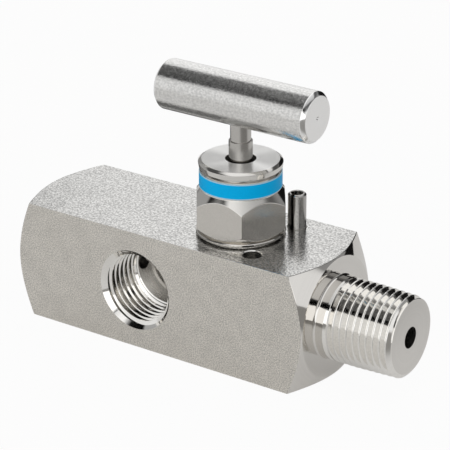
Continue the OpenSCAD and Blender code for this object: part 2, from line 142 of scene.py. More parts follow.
class NodeBench:
    """A node tree with short calls for adding and joining nodes."""

    def __init__(self, tree: bpy.types.NodeTree) -> None:
        """Keeps the tree that the nodes go into."""
        self.tree = tree

    def node(self, kind: str, **settings: object) -> Node:
        """Adds a node.

        Args:
            kind: Blender's name of the node type.
            settings: Properties of the node that are set on it.

        Returns:
            The node.
        """
        made = self.tree.nodes.new(kind)
        for key, value in settings.items():
            setattr(made, key, value)
        return made

    def feed(self, socket: Socket, value: Feed) -> None:
        """Joins a socket to another, or sets its value.

        Args:
            socket: The input.
            value: What goes into it.
        """
        if isinstance(value, Socket):
            self.tree.links.new(value, socket)
        elif socket.type == "RGBA" and not isinstance(value, float):
            socket.default_value = (*value, 1.0)
        else:
            socket.default_value = value

    def fed(self, made: Node, *values: Feed) -> Node:
        """Feeds a node's first inputs in their order.

        Args:
            made: The node.
            values: A value or a socket for each input.

        Returns:
            The node.
        """
        for socket, value in zip(made.inputs, values):
            self.feed(socket, value)
        return made

    def place(self) -> Socket:
        """Returns the place on the piece."""
        return self.node("ShaderNodeTexCoord").outputs["Object"]

    def parts(self, vector: Feed) -> bpy.types.bpy_prop_collection:
        """Returns a vector's three coordinates."""
        return self.fed(self.node("ShaderNodeSeparateXYZ"), vector).outputs

    def math(self, operation: str, *values: Feed) -> Socket:
        """Adds a Math node and returns its result."""
        return self.fed(self.node("ShaderNodeMath", operation=operation), *values).outputs[0]

    def product(self, *values: Feed) -> Socket:
        """Multiplies values.

        Args:
            values: The factors.

        Returns:
            Their product.
        """
        total = values[0]
        for value in values[1:]:
            total = self.math("MULTIPLY", total, value)
        return total

    def blend(self, first: Feed, second: Feed, share: float) -> Socket:
        """Returns the first value's share together with the rest of the second."""
        return self.math("ADD", self.product(first, share), self.product(second, 1 - share))

    def scaled(self, vector: Feed, factors: Triple) -> Socket:
        """Returns a vector with each part multiplied by its own factor."""
        return self.fed(self.node("ShaderNodeVectorMath", operation="MULTIPLY"), vector, factors).outputs[0]

    def dot(self, vector: Feed, weights: Triple) -> Socket:
        """Returns the dot product of a vector and constant weights."""
        made = self.node("ShaderNodeVectorMath", operation="DOT_PRODUCT")
        return self.fed(made, vector, weights).outputs["Value"]

    def noise(self, vector: Feed, scale: Feed, detail: float = 2.0,
              roughness: float = 0.5) -> Socket:
        """Adds a noise texture.

        Args:
            vector: Where the noise is read.
            scale: Its frequency.
            detail: Number of finer layers.
            roughness: Weight of the finer layers.

        Returns:
            The noise's value.
        """
        made = self.node("ShaderNodeTexNoise")
        for label, value in (("Vector", vector), ("Scale", scale), ("Detail", detail),
                             ("Roughness", roughness)):
            self.feed(made.inputs[label], value)
        return made.outputs["Fac"]

    def ramp(self, value: Feed, low: float, high: float, start: Feed = 0.0,
             stop: Feed = 1.0) -> Socket:
        """Maps a value smoothly from one range to another.

        Args:
            value: The value to map.
            low: Value that gives start.
            high: Value that gives stop.
            start: Result at low.
            stop: Result at high.

        Returns:
            The mapped value, clamped to the range.
        """
        made = self.node("ShaderNodeMapRange", interpolation_type="SMOOTHSTEP")
        return self.fed(made, value, low, high, start, stop).outputs["Result"]

    def fade(self, value: Feed, edge: Fade) -> Socket:
        """Fades smoothly over an edge.

        Args:
            value: The value that the fade follows.
            edge: Where the fade is 0 and where it is 1, whichever is the higher.

        Returns:
            The fade, from 0 to 1.
        """
        first, second = edge
        if first < second:
            return self.ramp(value, first, second)
        return self.ramp(value, second, first, 1.0, 0.0)

    def mix(self, factor: Feed, first: Feed, second: Feed) -> Socket:
        """Mixes two colours.

        Args:
            factor: Share of the second one.
            first: Colour at 0.
            second: Colour at 1.

        Returns:
            The mixed colour.
        """
        made = self.node("ShaderNodeMix", data_type="RGBA")
        for place, value in ((0, factor), (6, first), (7, second)):
            self.feed(made.inputs[place], value)
        return made.outputs[2]

    def finish_with(self, end: str, factor: Feed, first: Node, second: Node) -> None:
        """Mixes two shaders and ends the tree with them.

        Args:
            end: Name of the tree's output node.
            factor: Share of the second shader.
            first: Node of the first shader.
            second: Node of the second shader.
        """
        both = self.fed(self.node("ShaderNodeMixShader"), factor, first.outputs[0], second.outputs[0])
        self.feed(self.tree.nodes[end].inputs["Surface"], both.outputs[0])


def make_group(name: str, inputs: dict[str, str],
               build: Callable[[NodeBench, dict], tuple[Feed, Feed]]) -> bpy.types.ShaderNodeTree:
    """Makes a node group that puts out a height and a tone.

    Args:
        name: Name of the group.
        inputs: Names of its inputs, each with its socket type.
        build: Adds the nodes. It gets the bench and the input sockets by name, and
            returns the height and the tone.

    Returns:
        The group.
    """
    group = bpy.data.node_groups.new(name, "ShaderNodeTree")
    for label, kind in inputs.items():
        group.interface.new_socket(label, in_out="INPUT", socket_type=kind)
    for label in ("Height", "Tone"):
        group.interface.new_socket(label, in_out="OUTPUT", socket_type="NodeSocketFloat")
    bench = NodeBench(group)
    given = bench.node("NodeGroupInput")
    result = bench.node("NodeGroupOutput")
    height, tone = build(bench, {label: given.outputs[label] for label in inputs})
    bench.feed(result.inputs["Height"], height)
    bench.feed(result.inputs["Tone"], tone)
    return group


def blasted_grain(bench: NodeBench, given: dict) -> tuple[Feed, Feed]:
    """Adds the even pits of a blasted or pickled surface, with faint clouds.

    Args:
        bench: The group's nodes.
        given: The group's inputs by name.

    Returns:
        The height and the tone.
    """
    clouds_in_a_metre = 260.0
    pits = bench.noise(given["Place"], given["Frequency"], detail=2.0, roughness=0.65)
    clouds = bench.noise(given["Place"], clouds_in_a_metre, detail=3.0)
    return pits, bench.blend(bench.ramp(pits, low=0.32, high=0.68), clouds, share=0.7)


def turning_marks(bench: NodeBench, given: dict) -> tuple[Feed, Feed]:
    """Adds rings round an axis, from the distances from it and along it.

    Args:
        bench: The group's nodes.
        given: The group's inputs by name.

    Returns:
        The height and the tone.
    """
    slow_share = 0.13
    joined = bench.fed(bench.node("ShaderNodeCombineXYZ"), given["Radius"], given["Along"]).outputs[0]
    rings = bench.noise(joined, given["Frequency"], detail=3.0, roughness=0.7)
    slow = bench.noise(joined, bench.product(given["Frequency"], slow_share), detail=1.0)
    return rings, bench.blend(rings, slow, share=0.6)


def drawn_streaks(bench: NodeBench, given: dict) -> tuple[Feed, Feed]:
    """Adds the long streaks and short nicks of cold drawn bar.

    Args:
        bench: The group's nodes.
        given: The group's inputs by name.

    Returns:
        The height and the tone.
    """
    streak_squeeze = (0.035, 1.0, 1.0)
    nick_squeeze = (0.8, 1.0, 1.0)
    nick_frequency = bench.product(given["Frequency"], 0.8)
    streaks = bench.noise(bench.scaled(given["Place"], streak_squeeze), given["Frequency"],
                          detail=3.0, roughness=0.6)
    nicks = bench.noise(bench.scaled(given["Place"], nick_squeeze), nick_frequency,
                        detail=2.0, roughness=0.6)
    height = bench.blend(streaks, nicks, share=0.3)
    return height, bench.ramp(height, low=0.34, high=0.66)


PLACED = {"Place": "NodeSocketVector", "Frequency": "NodeSocketFloat"}
RINGED = {"Radius": "NodeSocketFloat", "Along": "NodeSocketFloat", "Frequency": "NodeSocketFloat"}
MARK_GROUPS = {
    marks: make_group(marks.value, inputs, build)
    for marks, inputs, build in (
        (Marks.BLASTED, PLACED, blasted_grain),
        (Marks.TURNED, RINGED, turning_marks),
        (Marks.DRAWN, PLACED, drawn_streaks),
    )
}


@dataclass(frozen=True)
class Finish:
    """Paint, plastic, rubber or graphite with a fine texture.

    Attributes:
        name: Name of the material.
        tint: Colour at the middle of the tone.
        roughness: Roughness, for steel at the middle of the tone.
        spacing: Size of one mark in millimetres.
        relief: Depth of the marks in millimetres.
        tone: Share by which the colour swings to both sides.
        marks: Kind of mark.
    """

    name: str
    tint: Triple
    roughness: float
    spacing: float = 0.3
    relief: float = 0.003
    tone: float = 0.05
    marks: Marks = Marks.BLASTED

    def place(self, bench: NodeBench) -> dict[str, Feed]:
        """Returns the place on the piece, by the names of the group's inputs."""
        return {"Place": bench.place()}

    def polish(self, bench: NodeBench, shader: Node, tone: Feed) -> None:
        """Sets how the surface shines, which doesn't follow the tone here."""
        shader.inputs["Roughness"].default_value = self.roughness

    def build(self) -> bpy.types.Material:
        """Makes the material.

        Returns:
            The material.
        """
        material = bpy.data.materials.new(self.name)
        material.use_nodes = True
        bench = NodeBench(material.node_tree)
        shader = material.node_tree.nodes["Principled BSDF"]
        group = bench.node("ShaderNodeGroup", node_tree=MARK_GROUPS[self.marks])
        for label, value in self.place(bench).items():
            bench.feed(group.inputs[label], value)
        bench.feed(group.inputs["Frequency"], 1 / (self.spacing * MM))
        dark, light = (tuple(min(part * (1 + swing), 1.0) for part in self.tint)
                       for swing in (-self.tone, self.tone))
        bench.feed(shader.inputs["Base Color"], bench.mix(group.outputs["Tone"], dark, light))
        bump = bench.node("ShaderNodeBump")
        bump.inputs["Strength"].default_value = 1.0
        bump.inputs["Distance"].default_value = self.relief * MM
        bench.feed(bump.inputs["Height"], group.outputs["Height"])
        bench.feed(shader.inputs["Normal"], bump.outputs["Normal"])
        self.polish(bench, shader, group.outputs["Tone"])
        return material


@dataclass(frozen=True)
class SteelFinish(Finish):
    """Bare steel with the marks of how it was made.

    Attributes:
        unevenness: Roughness that the marks add at most.
        axis: Axis that turning marks run round.
        centre: A point on that axis in millimetres.
        anisotropy: How far the marks stretch a highlight across themselves.
        tangent_turn: Turn of the stretched highlight, as a share of a full turn.
    """

    unevenness: float = 0.05
    axis: Axis = Axis.UP
    centre: Triple = (0, 0, 0)
    anisotropy: float = 0.0
    tangent_turn: float = 0.0

    def place(self, bench: NodeBench) -> dict[str, Feed]:
        """Reads the place on the piece, for turning marks as distances from the axis and along it.

        Args:
            bench: The material's nodes.

        Returns:
            Values for the group's inputs, by name.
        """
        if self.marks is not Marks.TURNED:
            return super().place(bench)
        mapping = bench.node("ShaderNodeMapping")
        bench.feed(mapping.inputs["Vector"], bench.place())
        mapping.inputs["Location"].default_value = [-MM * part for part in self.centre]
        parts = bench.parts(mapping.outputs[0])
        along = self.axis.letter()
        first, second = (parts[letter] for letter in "XYZ" if letter != along)
        squares = bench.math("ADD", bench.product(first, first), bench.product(second, second))
        return {"Radius": bench.math("SQRT", squares), "Along": parts[along]}

    def polish(self, bench: NodeBench, shader: Node, tone: Feed) -> None:
        """Makes the surface metal, with a roughness and a highlight that follow the marks.

        Args:
            bench: The material's nodes.
            shader: The material's shader.
            tone: Tone of the marks.
        """
        lowest = self.roughness - self.unevenness / 2
        bench.feed(shader.inputs["Roughness"], bench.math("MULTIPLY_ADD", tone, self.unevenness, lowest))
        shader.inputs["Metallic"].default_value = 1.0
        if self.anisotropy:
            shader.inputs["Anisotropic"].default_value = self.anisotropy
            shader.inputs["Anisotropic Rotation"].default_value = self.tangent_turn
            tangent = bench.node("ShaderNodeTangent", direction_type="RADIAL", axis=self.axis.letter())
            bench.feed(shader.inputs["Tangent"], tangent.outputs[0])


@lru_cache(maxsize=None)
def material_of(finish: Finish) -> bpy.types.Material:
    """Returns a finish's material, which is made at its first use."""
    return finish.build()


# Each finish: name, tint, roughness, spacing, relief, tone and marks, then what only some need.
BLASTED_SIDE = SteelFinish("blasted_side", (0.69, 0.665, 0.62), 0.46, 0.32, 0.012, 0.42)
GROUND_TOP = SteelFinish("ground_top", (0.63, 0.625, 0.61), 0.20, 0.55, 0.026, 0.55)
TURNED_END = SteelFinish("turned_end", (0.78, 0.76, 0.73), 0.06, 0.6, 0.0006, 0.09, Marks.TURNED,
                         axis=Axis.NIPPLE, centre=BODY_CENTRE)
CUT_THREAD = SteelFinish("cut_thread", (0.92, 0.905, 0.875), 0.08, 0.4, 0.001, 0.04)
REAMED = SteelFinish("reamed_hole", (0.78, 0.765, 0.74), 0.20, 0.3, 0.002, 0.05)
# Drill marks in the bump and roughness, and a tint darkened as painted shade inside holes and sockets.
DRILLED = SteelFinish("drilled_hole", (0.45, 0.44, 0.42), 0.25, 0.3, 0.004, 0.08)
BONNET_SATIN = SteelFinish("bonnet_satin", (0.69, 0.665, 0.625), 0.19, 0.35, 0.0015, 0.05)
CAP_TURNED = SteelFinish("cap_turned", (0.83, 0.825, 0.81), 0.29, 0.45, 0.02, 0.05, Marks.TURNED,
                         anisotropy=1.0, tangent_turn=0.25)
TURNED_EDGE = SteelFinish("turned_edge", (0.76, 0.745, 0.715), 0.10, 0.3, 0.001, 0.03, Marks.TURNED)
STEM_TURNED = SteelFinish("stem_turned", (0.59, 0.575, 0.55), 0.20, 0.3, 0.002, 0.04, Marks.TURNED)
BAR_DRAWN = SteelFinish("bar_drawn", (0.80, 0.795, 0.78), 0.20, 0.40, 0.036, 0.14, Marks.DRAWN,
                        axis=Axis.NIPPLE, anisotropy=0.6)
BAR_END = SteelFinish("bar_end", (1.0, 0.995, 0.985), 0.14, 0.35, 0.003, 0.04, Marks.TURNED,
                      axis=Axis.NIPPLE, centre=(0, 0, BAR_AXIS_Z))
PIN_ROLLED = SteelFinish("pin_rolled", (0.50, 0.49, 0.475), 0.22, 0.4, 0.004, 0.08, Marks.DRAWN)
BALL_POLISHED = SteelFinish("ball_polished", (0.8, 0.8, 0.8), 0.06, 0.3, 0.0003, 0.01)
BAND_PAINT = Finish("band_paint", (0.002, 0.50, 0.98), 0.34, 0.5, 0.002, 0.03)
GASKET_GRAPHITE = Finish("gasket_graphite", (0.03, 0.03, 0.033), 0.55)
PACKING_WHITE = Finish("packing_white", (0.82, 0.82, 0.80), 0.5)
WIPER_BLACK = Finish("wiper_black", (0.012, 0.012, 0.012), 0.6)


def select_only(piece: Piece) -> None:
    """Selects one object and makes it the active one.

    Args:
        piece: The object.
    """
    bpy.ops.object.select_all(action="DESELECT")
    piece.select_set(True)
    bpy.context.view_layer.objects.active = piece


def wear(piece: Piece, base: Finish, *others: tuple[Finish, FaceTest]) -> None:
    """Gives a piece its finishes.

    Args:
        piece: The piece.
        base: Finish of every face that no other one takes.
        others: More finishes, each with the test that says which faces it takes.
    """
    piece.data.materials.clear()
    piece.data.materials.append(material_of(base))
    for slot, (finish, takes) in enumerate(others, start=1):
        piece.data.materials.append(material_of(finish))
        for face in piece.data.polygons:
            if takes(face):
                face.material_index = slot


def mend_shell(piece: Piece) -> None:
    """Merges doubled points of a shell and turns its faces outwards.

    Args:
        piece: The mesh object to mend.
    """
    select_only(piece)
    bpy.ops.object.mode_set(mode="EDIT")
    bpy.ops.mesh.select_all(action="SELECT")
    bpy.ops.mesh.remove_doubles(threshold=DOUBLED)
    bpy.ops.mesh.normals_make_consistent(inside=False)
    bpy.ops.object.mode_set(mode="OBJECT")


def draw_wire(name: str, points: Sequence[Vector], closed: bool) -> Piece:
    """Draws a wire point by point, by extruding one vertex along it.

    Args:
        name: Name of the new object.
        points: The wire's corners in millimetres.
        closed: True to fill the wire to a flat face.

    Returns:
        The object, with everything in its mesh selected.
    """
    bpy.ops.object.select_all(action="DESELECT")
    bpy.ops.mesh.primitive_plane_add(size=1)
    wire = bpy.context.active_object
    wire.name = name
    bpy.ops.object.mode_set(mode="EDIT")
    bpy.ops.mesh.merge(type="CENTER")
    bpy.ops.transform.translate(value=points[0])
    for before, after in zip(points, points[1:]):
        bpy.ops.mesh.extrude_region_move(TRANSFORM_OT_translate={"value": after - before})
    bpy.ops.mesh.select_all(action="SELECT")
    if closed:
        bpy.ops.mesh.edge_face_add()
    bpy.ops.object.mode_set(mode="OBJECT")
    return wire


def spin_round(piece: Piece, centre: Vector, axis: Axis, steps: int,
               angle: float = FULL_TURN) -> None:
    """Spins a piece's whole mesh about an axis and mends the shell.

    Args:
        piece: The wire or face to spin.
        centre: A point on the axis.
        axis: The axis.
        steps: Number of facets.
        angle: How far it goes round, in radians.
    """
    bpy.ops.object.mode_set(mode="EDIT")
    bpy.ops.mesh.select_all(action="SELECT")
    bpy.ops.mesh.spin(steps=steps, angle=angle, center=centre, axis=axis.value)
    bpy.ops.object.mode_set(mode="OBJECT")
    mend_shell(piece)


def turn_solid(name: str, outline: Outline, axis: Axis = Axis.UP, centre: Triple = (0, 0, 0),
               steps: int = ROUND_STEPS, finish: Optional[Finish] = None) -> Piece:
    """Turns an outline into a solid, as on a lathe.

    Args:
        name: Name of the new object.
        outline: Pairs of radius and distance along the axis. It starts and ends on
            the axis, or its last point joins up with its first.
        axis: The axis that it turns about.
        centre: The point on the axis from which the distances count.
        steps: Number of facets round the piece.
        finish: Finish of all its faces, where it has one already.

    Returns:
        The closed solid.
    """
    middle = Vector(centre)
    points = [middle + axis.side() * radius + axis.direction() * along for radius, along in outline]
    hollow = outline[0][0] > 0
    if hollow:
        points.append(points[0].copy())
    piece = draw_wire(name, points, closed=False)
    spin_round(piece, middle, axis, steps)
    if finish:
        wear(piece, finish)
    return piece


def stepped(start: float, *steps: tuple[float, float]) -> Outline:
    """Returns the outline of a stepped rod.

    Args:
        start: Distance along the axis at which the rod starts.
        steps: Radius of each step, and the distance along the axis at which it stops.

    Returns:
        Pairs of radius and distance along the axis.
    """
    points = [(0, start)]
    for radius, stop in steps:
        points += [(radius, points[-1][1]), (radius, stop)]
    return [*points, (0, points[-1][1])]


def edged(radius: float, low: float, high: float, edge: float) -> Outline:
    """Draws the outside of a plain rod or ring whose two edges are broken.

    Args:
        radius: Radius of the rod.
        low: Distance along the axis at which it starts.
        high: Distance along the axis at which it stops.
        edge: Width of the broken edges.

    Returns:
        The four points, as radius and distance along the axis.
    """
    return [(radius - edge, low), (radius, low + edge), (radius, high - edge), (radius - edge, high)]


def corner_arc(centre: tuple[float, float], radius: float, start: float, stop: float,
               parts: int) -> list[tuple[float, float]]:
    """Returns points of an arc for an outline.

    Args:
        centre: Middle of the arc, as radius and distance along the axis.
        radius: Radius of the arc.
        start: First angle in degrees, from the outward direction towards the axis's own.
        stop: Last angle in degrees.
        parts: Number of straight parts.

    Returns:
        The points, both ends included.
    """
    angles = [math.radians(start + (stop - start) * i / parts) for i in range(parts + 1)]
    return [(centre[0] + radius * math.cos(a), centre[1] + radius * math.sin(a)) for a in angles]


def box_solid(name: str, low: Triple, high: Triple) -> Piece:
    """Adds a block between two corners.

    Args:
        name: Name of the new object.
        low: Lowest corner.
        high: Highest corner.

    Returns:
        The block, with its place in its mesh.
    """
    bpy.ops.object.select_all(action="DESELECT")
    bpy.ops.mesh.primitive_cube_add(size=1)
    block = bpy.context.active_object
    block.name = name
    block.location = (Vector(low) + Vector(high)) / 2
    block.scale = Vector(high) - Vector(low)
    bpy.ops.object.transform_apply(location=True, rotation=True, scale=True)
    return block


def carve(piece: Piece, tool: Piece, cut: Cut) -> None:
    """Applies a boolean to a piece and throws the tool away.

    Args:
        piece: The solid that stays.
        tool: The solid that is used up.
        cut: What is done with the tool.
    """
    select_only(piece)
    modifier = piece.modifiers.new("carve", "BOOLEAN")
    modifier.operation = cut.value
    modifier.object = tool
    modifier.solver = "EXACT"
    modifier.material_mode = "TRANSFER"
    bpy.ops.object.modifier_apply(modifier=modifier.name)
    bpy.data.objects.remove(tool)


def soften(piece: Piece, width: float, sharper_than: float) -> None:
    """Breaks a piece's sharp edges.

    Args:
        piece: The solid.
        width: Width of the broken edge in millimetres.
        sharper_than: Only edges that turn by more than this many degrees are broken.
    """
    select_only(piece)
    modifier = piece.modifiers.new("soften", "BEVEL")
    modifier.limit_method = "ANGLE"
    modifier.angle_limit = math.radians(sharper_than)
    modifier.width = width
    modifier.segments = BEVEL_STRIPS
    bpy.ops.object.modifier_apply(modifier=modifier.name)


def deliver(piece: Piece, node: str, body: str) -> Piece:
    """Brings a finished piece to metres and lets it stand for its CAD node.

    Args:
        piece: The piece in millimetres.
        node: The CAD node that it stands for.
        body: The moving body that it rides on.

    Returns:
        The piece.
    """
    piece.name = node + "_finished"
    select_only(piece)
    piece.scale = (MM, MM, MM)
    bpy.ops.object.transform_apply(location=True, rotation=True, scale=True)
    bpy.ops.object.shade_smooth_by_angle(angle=SMOOTH_ANGLE)
    weighting = piece.modifiers.new("weighting", "WEIGHTED_NORMAL")
    weighting.keep_sharp = True
    weighting.weight = 100
    bpy.ops.object.modifier_apply(modifier=weighting.name)
    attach(piece, body)
    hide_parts(node)
    LOG.info("%s stands for %s, %d faces", piece.name, node, len(piece.data.polygons))
    return piece


@dataclass
class PipeThread:
    """Tapered pipe thread, in millimetres.

    Attributes:
        pitch: Distance between two turns.
        taper: Radius lost for each millimetre of length.
        depth: Height of the ridge.
        rounding: Radius of the ridge's crest and of the groove's root.
        flank_angle: Angle in degrees between a flank's normal and the axis's outward direction.
        steps: Facets in one turn.
        spare_turns: Turns that are made beyond each end and cut off.
    """

    pitch: float = 25.4 / 14
    taper: float = 1 / 32
    depth: float = 1.35
    rounding: float = 0.2
    flank_angle: float = 60.0
    steps: int = 96
    spare_turns: int = 2

    def ridge(self, crest_r: float) -> Outline:
        """Returns one turn's outline, from the middle of a groove to the middle of the next.

        Args:
            crest_r: Radius of the crest.

        Returns:
            Pairs of radius and distance along the axis.
        """
        crest = corner_arc((crest_r - self.rounding, self.pitch / 2), self.rounding,
                           -self.flank_angle, self.flank_angle, 4)
        root = corner_arc((crest_r - self.depth + self.rounding, 0), self.rounding,
                          180, 180 - self.flank_angle, 2)
        end = [(radius, self.pitch - along) for radius, along in reversed(root)]
        return [*root, *crest, *end]

    def rod(self, name: str, crest_r: float, length: float) -> Piece:
        """Makes a threaded rod up the Z axis, widest at z = 0.

        Args:
            name: Name of the new object.
            crest_r: Radius of the crest at z = 0.
            length: Length of the rod.

        Returns:
            The closed rod.
        """
        start = -self.spare_turns * self.pitch
        rod = draw_wire(name, [Vector((r, 0, start + z)) for r, z in self.ridge(crest_r)], closed=False)
        screw = rod.modifiers.new("screw", "SCREW")
        screw.axis = "Z"
        screw.angle = FULL_TURN
        screw.screw_offset = self.pitch
        screw.iterations = math.ceil(length / self.pitch) + 2 * self.spare_turns
        screw.steps = self.steps
        screw.render_steps = self.steps
        screw.use_merge_vertices = True
        screw.merge_threshold = 2 * DOUBLED
        bpy.ops.object.modifier_apply(modifier=screw.name)
        mend_shell(rod)
        for height, clear_above in ((0.0, False), (length, True)):
            bpy.ops.object.mode_set(mode="EDIT")
            bpy.ops.mesh.select_all(action="SELECT")
            bpy.ops.mesh.bisect(plane_co=(0, 0, height), plane_no=(0, 0, 1), use_fill=True,
                                clear_inner=not clear_above, clear_outer=clear_above)
            bpy.ops.object.mode_set(mode="OBJECT")
        narrowing = rod.modifiers.new("taper", "SIMPLE_DEFORM")
        narrowing.deform_method = "TAPER"
        narrowing.deform_axis = "Z"
        narrowing.factor = -self.taper / crest_r * length
        bpy.ops.object.modifier_apply(modifier=narrowing.name)
        mend_shell(rod)
        return rod


@dataclass
class Body:
    """Square bar with turned ends, a threaded nipple and three threaded ports.

    All sizes are in millimetres and angles in degrees. Depths of the bonnet's hole
    count down from the top of the body.
    """

    width: float = BODY_WIDTH
    nipple_end_x: float = 28.5
    port_end_x: float = 59.5
    end_face_r: float = 15.6
    end_cone_angle: float = 30.0
    top_normal_z: float = 0.7
    broken_edge: float = 0.22
    nipple_r: float = 10.67
    nipple_len: float = 21.1
    nipple_tip_r: float = 10.36
    nipple_chamfer: float = 0.6
    nipple_fillet: float = 0.6
    sunk: float = 0.03
    neck_x: float = 31.0
    crest_gap: float = 0.03
    run_out: float = 1.9
    inlet_r: float = 2.75
    side_port_x: float = 21.8
    port_bore_r: float = 9.15
    port_mouth_r: float = 10.8
    port_depth: float = 13.2
    port_tip_angle: float = 31.0
    port_crest_r: float = 10.45
    port_lead: float = 1.7
    tap_gap: float = 0.1
    cross_bore_r: float = 8.8
    end_passage_r: float = 2.3
    outlet_passage_r: float = 1.7
    outlet_gap: float = 0.1
    bonnet_hole_r: float = 9.03
    bonnet_hole_depth: float = 8.6
    chamber_r: float = 5.2
    seat_depth: float = 12.2
    seat_r: float = 2.2
    seat_chamfer: float = 0.5
    pin_hole_r: float = 2.38
    pin_hole_depth: float = 7.7
    pin_hole_chamfer: float = 0.25
    pin_hole_steps: int = 48
    thread: PipeThread = field(default_factory=PipeThread)

    def block(self) -> Piece:
        """Makes the bar with both ends turned to a shallow cone and a flat face.

        Returns:
            The bar with its finishes.
        """
        half = self.width / 2
        piece = box_solid("valve_body", (-self.port_end_x - OVER, -half, 0),
                          (self.nipple_end_x + OVER, half, self.width))
        corner_r = half * math.sqrt(2) + OVER
        run = (corner_r - self.end_face_r) * math.tan(math.radians(self.end_cone_angle))
        turned = turn_solid("turned_ends", [
            (0, -self.port_end_x),
            (self.end_face_r, -self.port_end_x),
            (corner_r, -self.port_end_x + run),
            (corner_r, self.nipple_end_x - run),
            (self.end_face_r, self.nipple_end_x),
            (0, self.nipple_end_x),
        ], Axis.NIPPLE, BODY_CENTRE)
        carve(piece, turned, Cut.COMMON)
        mend_shell(piece)
        soften(piece, self.broken_edge, sharper_than=34.0)
        wear(piece, BLASTED_SIDE, (GROUND_TOP, lambda face: face.normal.z > self.top_normal_z),
             (TURNED_END, lambda face: abs(face.normal.x) > TILTED))
        return piece

    def nipple(self) -> Piece:
        """Makes the nipple: a turned blank that keeps only its neck and its thread's ridge.

        Returns:
            The nipple.
        """
        start_x = self.nipple_end_x - OVER
        tip_x = self.nipple_end_x + self.nipple_len
        straight_x = tip_x - (self.nipple_r - self.nipple_tip_r) / self.thread.taper
        fillet_r = self.nipple_r + self.nipple_fillet
        fillet_x = self.nipple_end_x + self.nipple_fillet - self.sunk
        blank = turn_solid("nipple", [
            (0, start_x),
            (fillet_r, start_x),
            *corner_arc((fillet_r, fillet_x), self.nipple_fillet, 270, 180, 6),
            (self.nipple_r, straight_x),
            (self.nipple_tip_r, tip_x - self.nipple_chamfer),
            (self.nipple_tip_r - self.nipple_chamfer, tip_x),
            (0, tip_x),
        ], Axis.NIPPLE, BODY_CENTRE, finish=TURNED_END)
        clear_r = fillet_r + OVER
        below_root_r = self.nipple_r - self.thread.depth - OVER / 2
        slope = self.run_out / self.thread.depth
        root_x = self.neck_x + self.run_out + OVER / 2 * slope
        kept = turn_solid("kept", [
            (0, start_x - OVER),
            (clear_r, start_x - OVER),
            (clear_r, self.neck_x - (clear_r - self.nipple_r) * slope),
            (below_root_r, root_x),
            (0, root_x),
        ], Axis.NIPPLE, BODY_CENTRE)
        thread_x = self.neck_x - OVER
        wide_r = self.nipple_tip_r - self.crest_gap + (tip_x - thread_x) * self.thread.taper
        rod = self.thread.rod("nipple_thread", wide_r, tip_x - thread_x + OVER)
        rod.data.transform(Axis.NIPPLE.placing((thread_x, 0, BODY_AXIS_Z)))
        carve(kept, rod, Cut.JOINED)
        wear(kept, CUT_THREAD)
        carve(blank, kept, Cut.COMMON)
        return blank

    def port_tools(self) -> list[Piece]:
        """Makes the cutters for one port, with the mouth at z = 0 and the bore up the Z axis.

        Returns:
            The drill and the tap.
        """
        clear_r = self.port_mouth_r + OVER
        tip = self.port_bore_r * math.tan(math.radians(self.port_tip_angle))
        drill = turn_solid("port_drill", [
            (0, -OVER),
            (clear_r, -OVER),
            (self.port_bore_r, self.port_mouth_r - self.port_bore_r),
            (self.port_bore_r, self.port_depth),
            (0, self.port_depth + tip),
        ])
        tap = self.thread.rod("port_tap", self.port_crest_r, self.port_depth)
        lead_z = self.port_depth - self.tap_gap / 2
        lead = turn_solid("tap_lead", [
            (0, -OVER),
            (clear_r, -OVER),
            (clear_r, self.port_depth - self.port_lead - OVER),
            (self.port_bore_r - self.tap_gap, lead_z),
            (0, lead_z),
        ])
        carve(tap, lead, Cut.COMMON)
        for tool in (drill, tap):
            wear(tool, CUT_THREAD)
        return [drill, tap]

    def bore_port(self, piece: Piece, tools: Iterable[Piece], inward: Axis,
                  mouth: Triple) -> None:
        """Cuts one port.

        Args:
            piece: The body.
            tools: The drill and the tap, which are copied.
            inward: Direction of the bore, from its mouth.
            mouth: Centre of the port's mouth.
        """
        for tool in tools:
            copy = tool.copy()
            copy.data = tool.data.copy()
            bpy.context.scene.collection.objects.link(copy)
            copy.data.transform(inward.placing(mouth))
            carve(piece, copy, Cut.AWAY)

    def bonnet_hole(self) -> Piece:
        """Makes the cutter for the bonnet's hole, the chamber and the seat.

        Returns:
            The cutter.
        """
        return turn_solid("bonnet_hole", [
            (0, OVER),
            (self.bonnet_hole_r, OVER),
            (self.bonnet_hole_r, -self.bonnet_hole_depth),
            (self.chamber_r, -self.bonnet_hole_depth),
            (self.chamber_r, -self.seat_depth),
            (self.seat_r + self.seat_chamfer, -self.seat_depth),
            (self.seat_r, -self.seat_depth - self.seat_chamfer),
            (self.seat_r, -BODY_AXIS_Z),
            (0, -BODY_AXIS_Z),
        ], centre=TOP_CENTRE, finish=DRILLED)

    def pin_hole(self, side: int) -> Piece:
        """Makes the cutter for one pin hole.

        Args:
            side: 1 for the rear hole and -1 for the front one.

        Returns:
            The cutter.
        """
        return turn_solid("pin_hole", [
            (0, OVER),
            (self.pin_hole_r + self.pin_hole_chamfer + OVER, OVER),
            (self.pin_hole_r, -self.pin_hole_chamfer),
            (self.pin_hole_r, -self.pin_hole_depth),
            (0, -self.pin_hole_depth - self.pin_hole_r / 2),
        ], Axis.UP, (PIN_OFFSET, side * PIN_OFFSET, self.width), self.pin_hole_steps, REAMED)

    def passage(self, name: str, radius: float, start_x: float, stop_x: float,
                z: float = BODY_AXIS_Z) -> Piece:
        """Makes the cutter for a passage along X.

        Args:
            name: Name of the cutter.
            radius: Radius of the passage.
            start_x: Where it starts.
            stop_x: Where it ends.
            z: Height of its axis.

        Returns:
            The cutter.
        """
        return turn_solid(name, stepped(start_x, (radius, stop_x)), Axis.NIPPLE, (0, 0, z), SMALL_STEPS,
                          DRILLED)

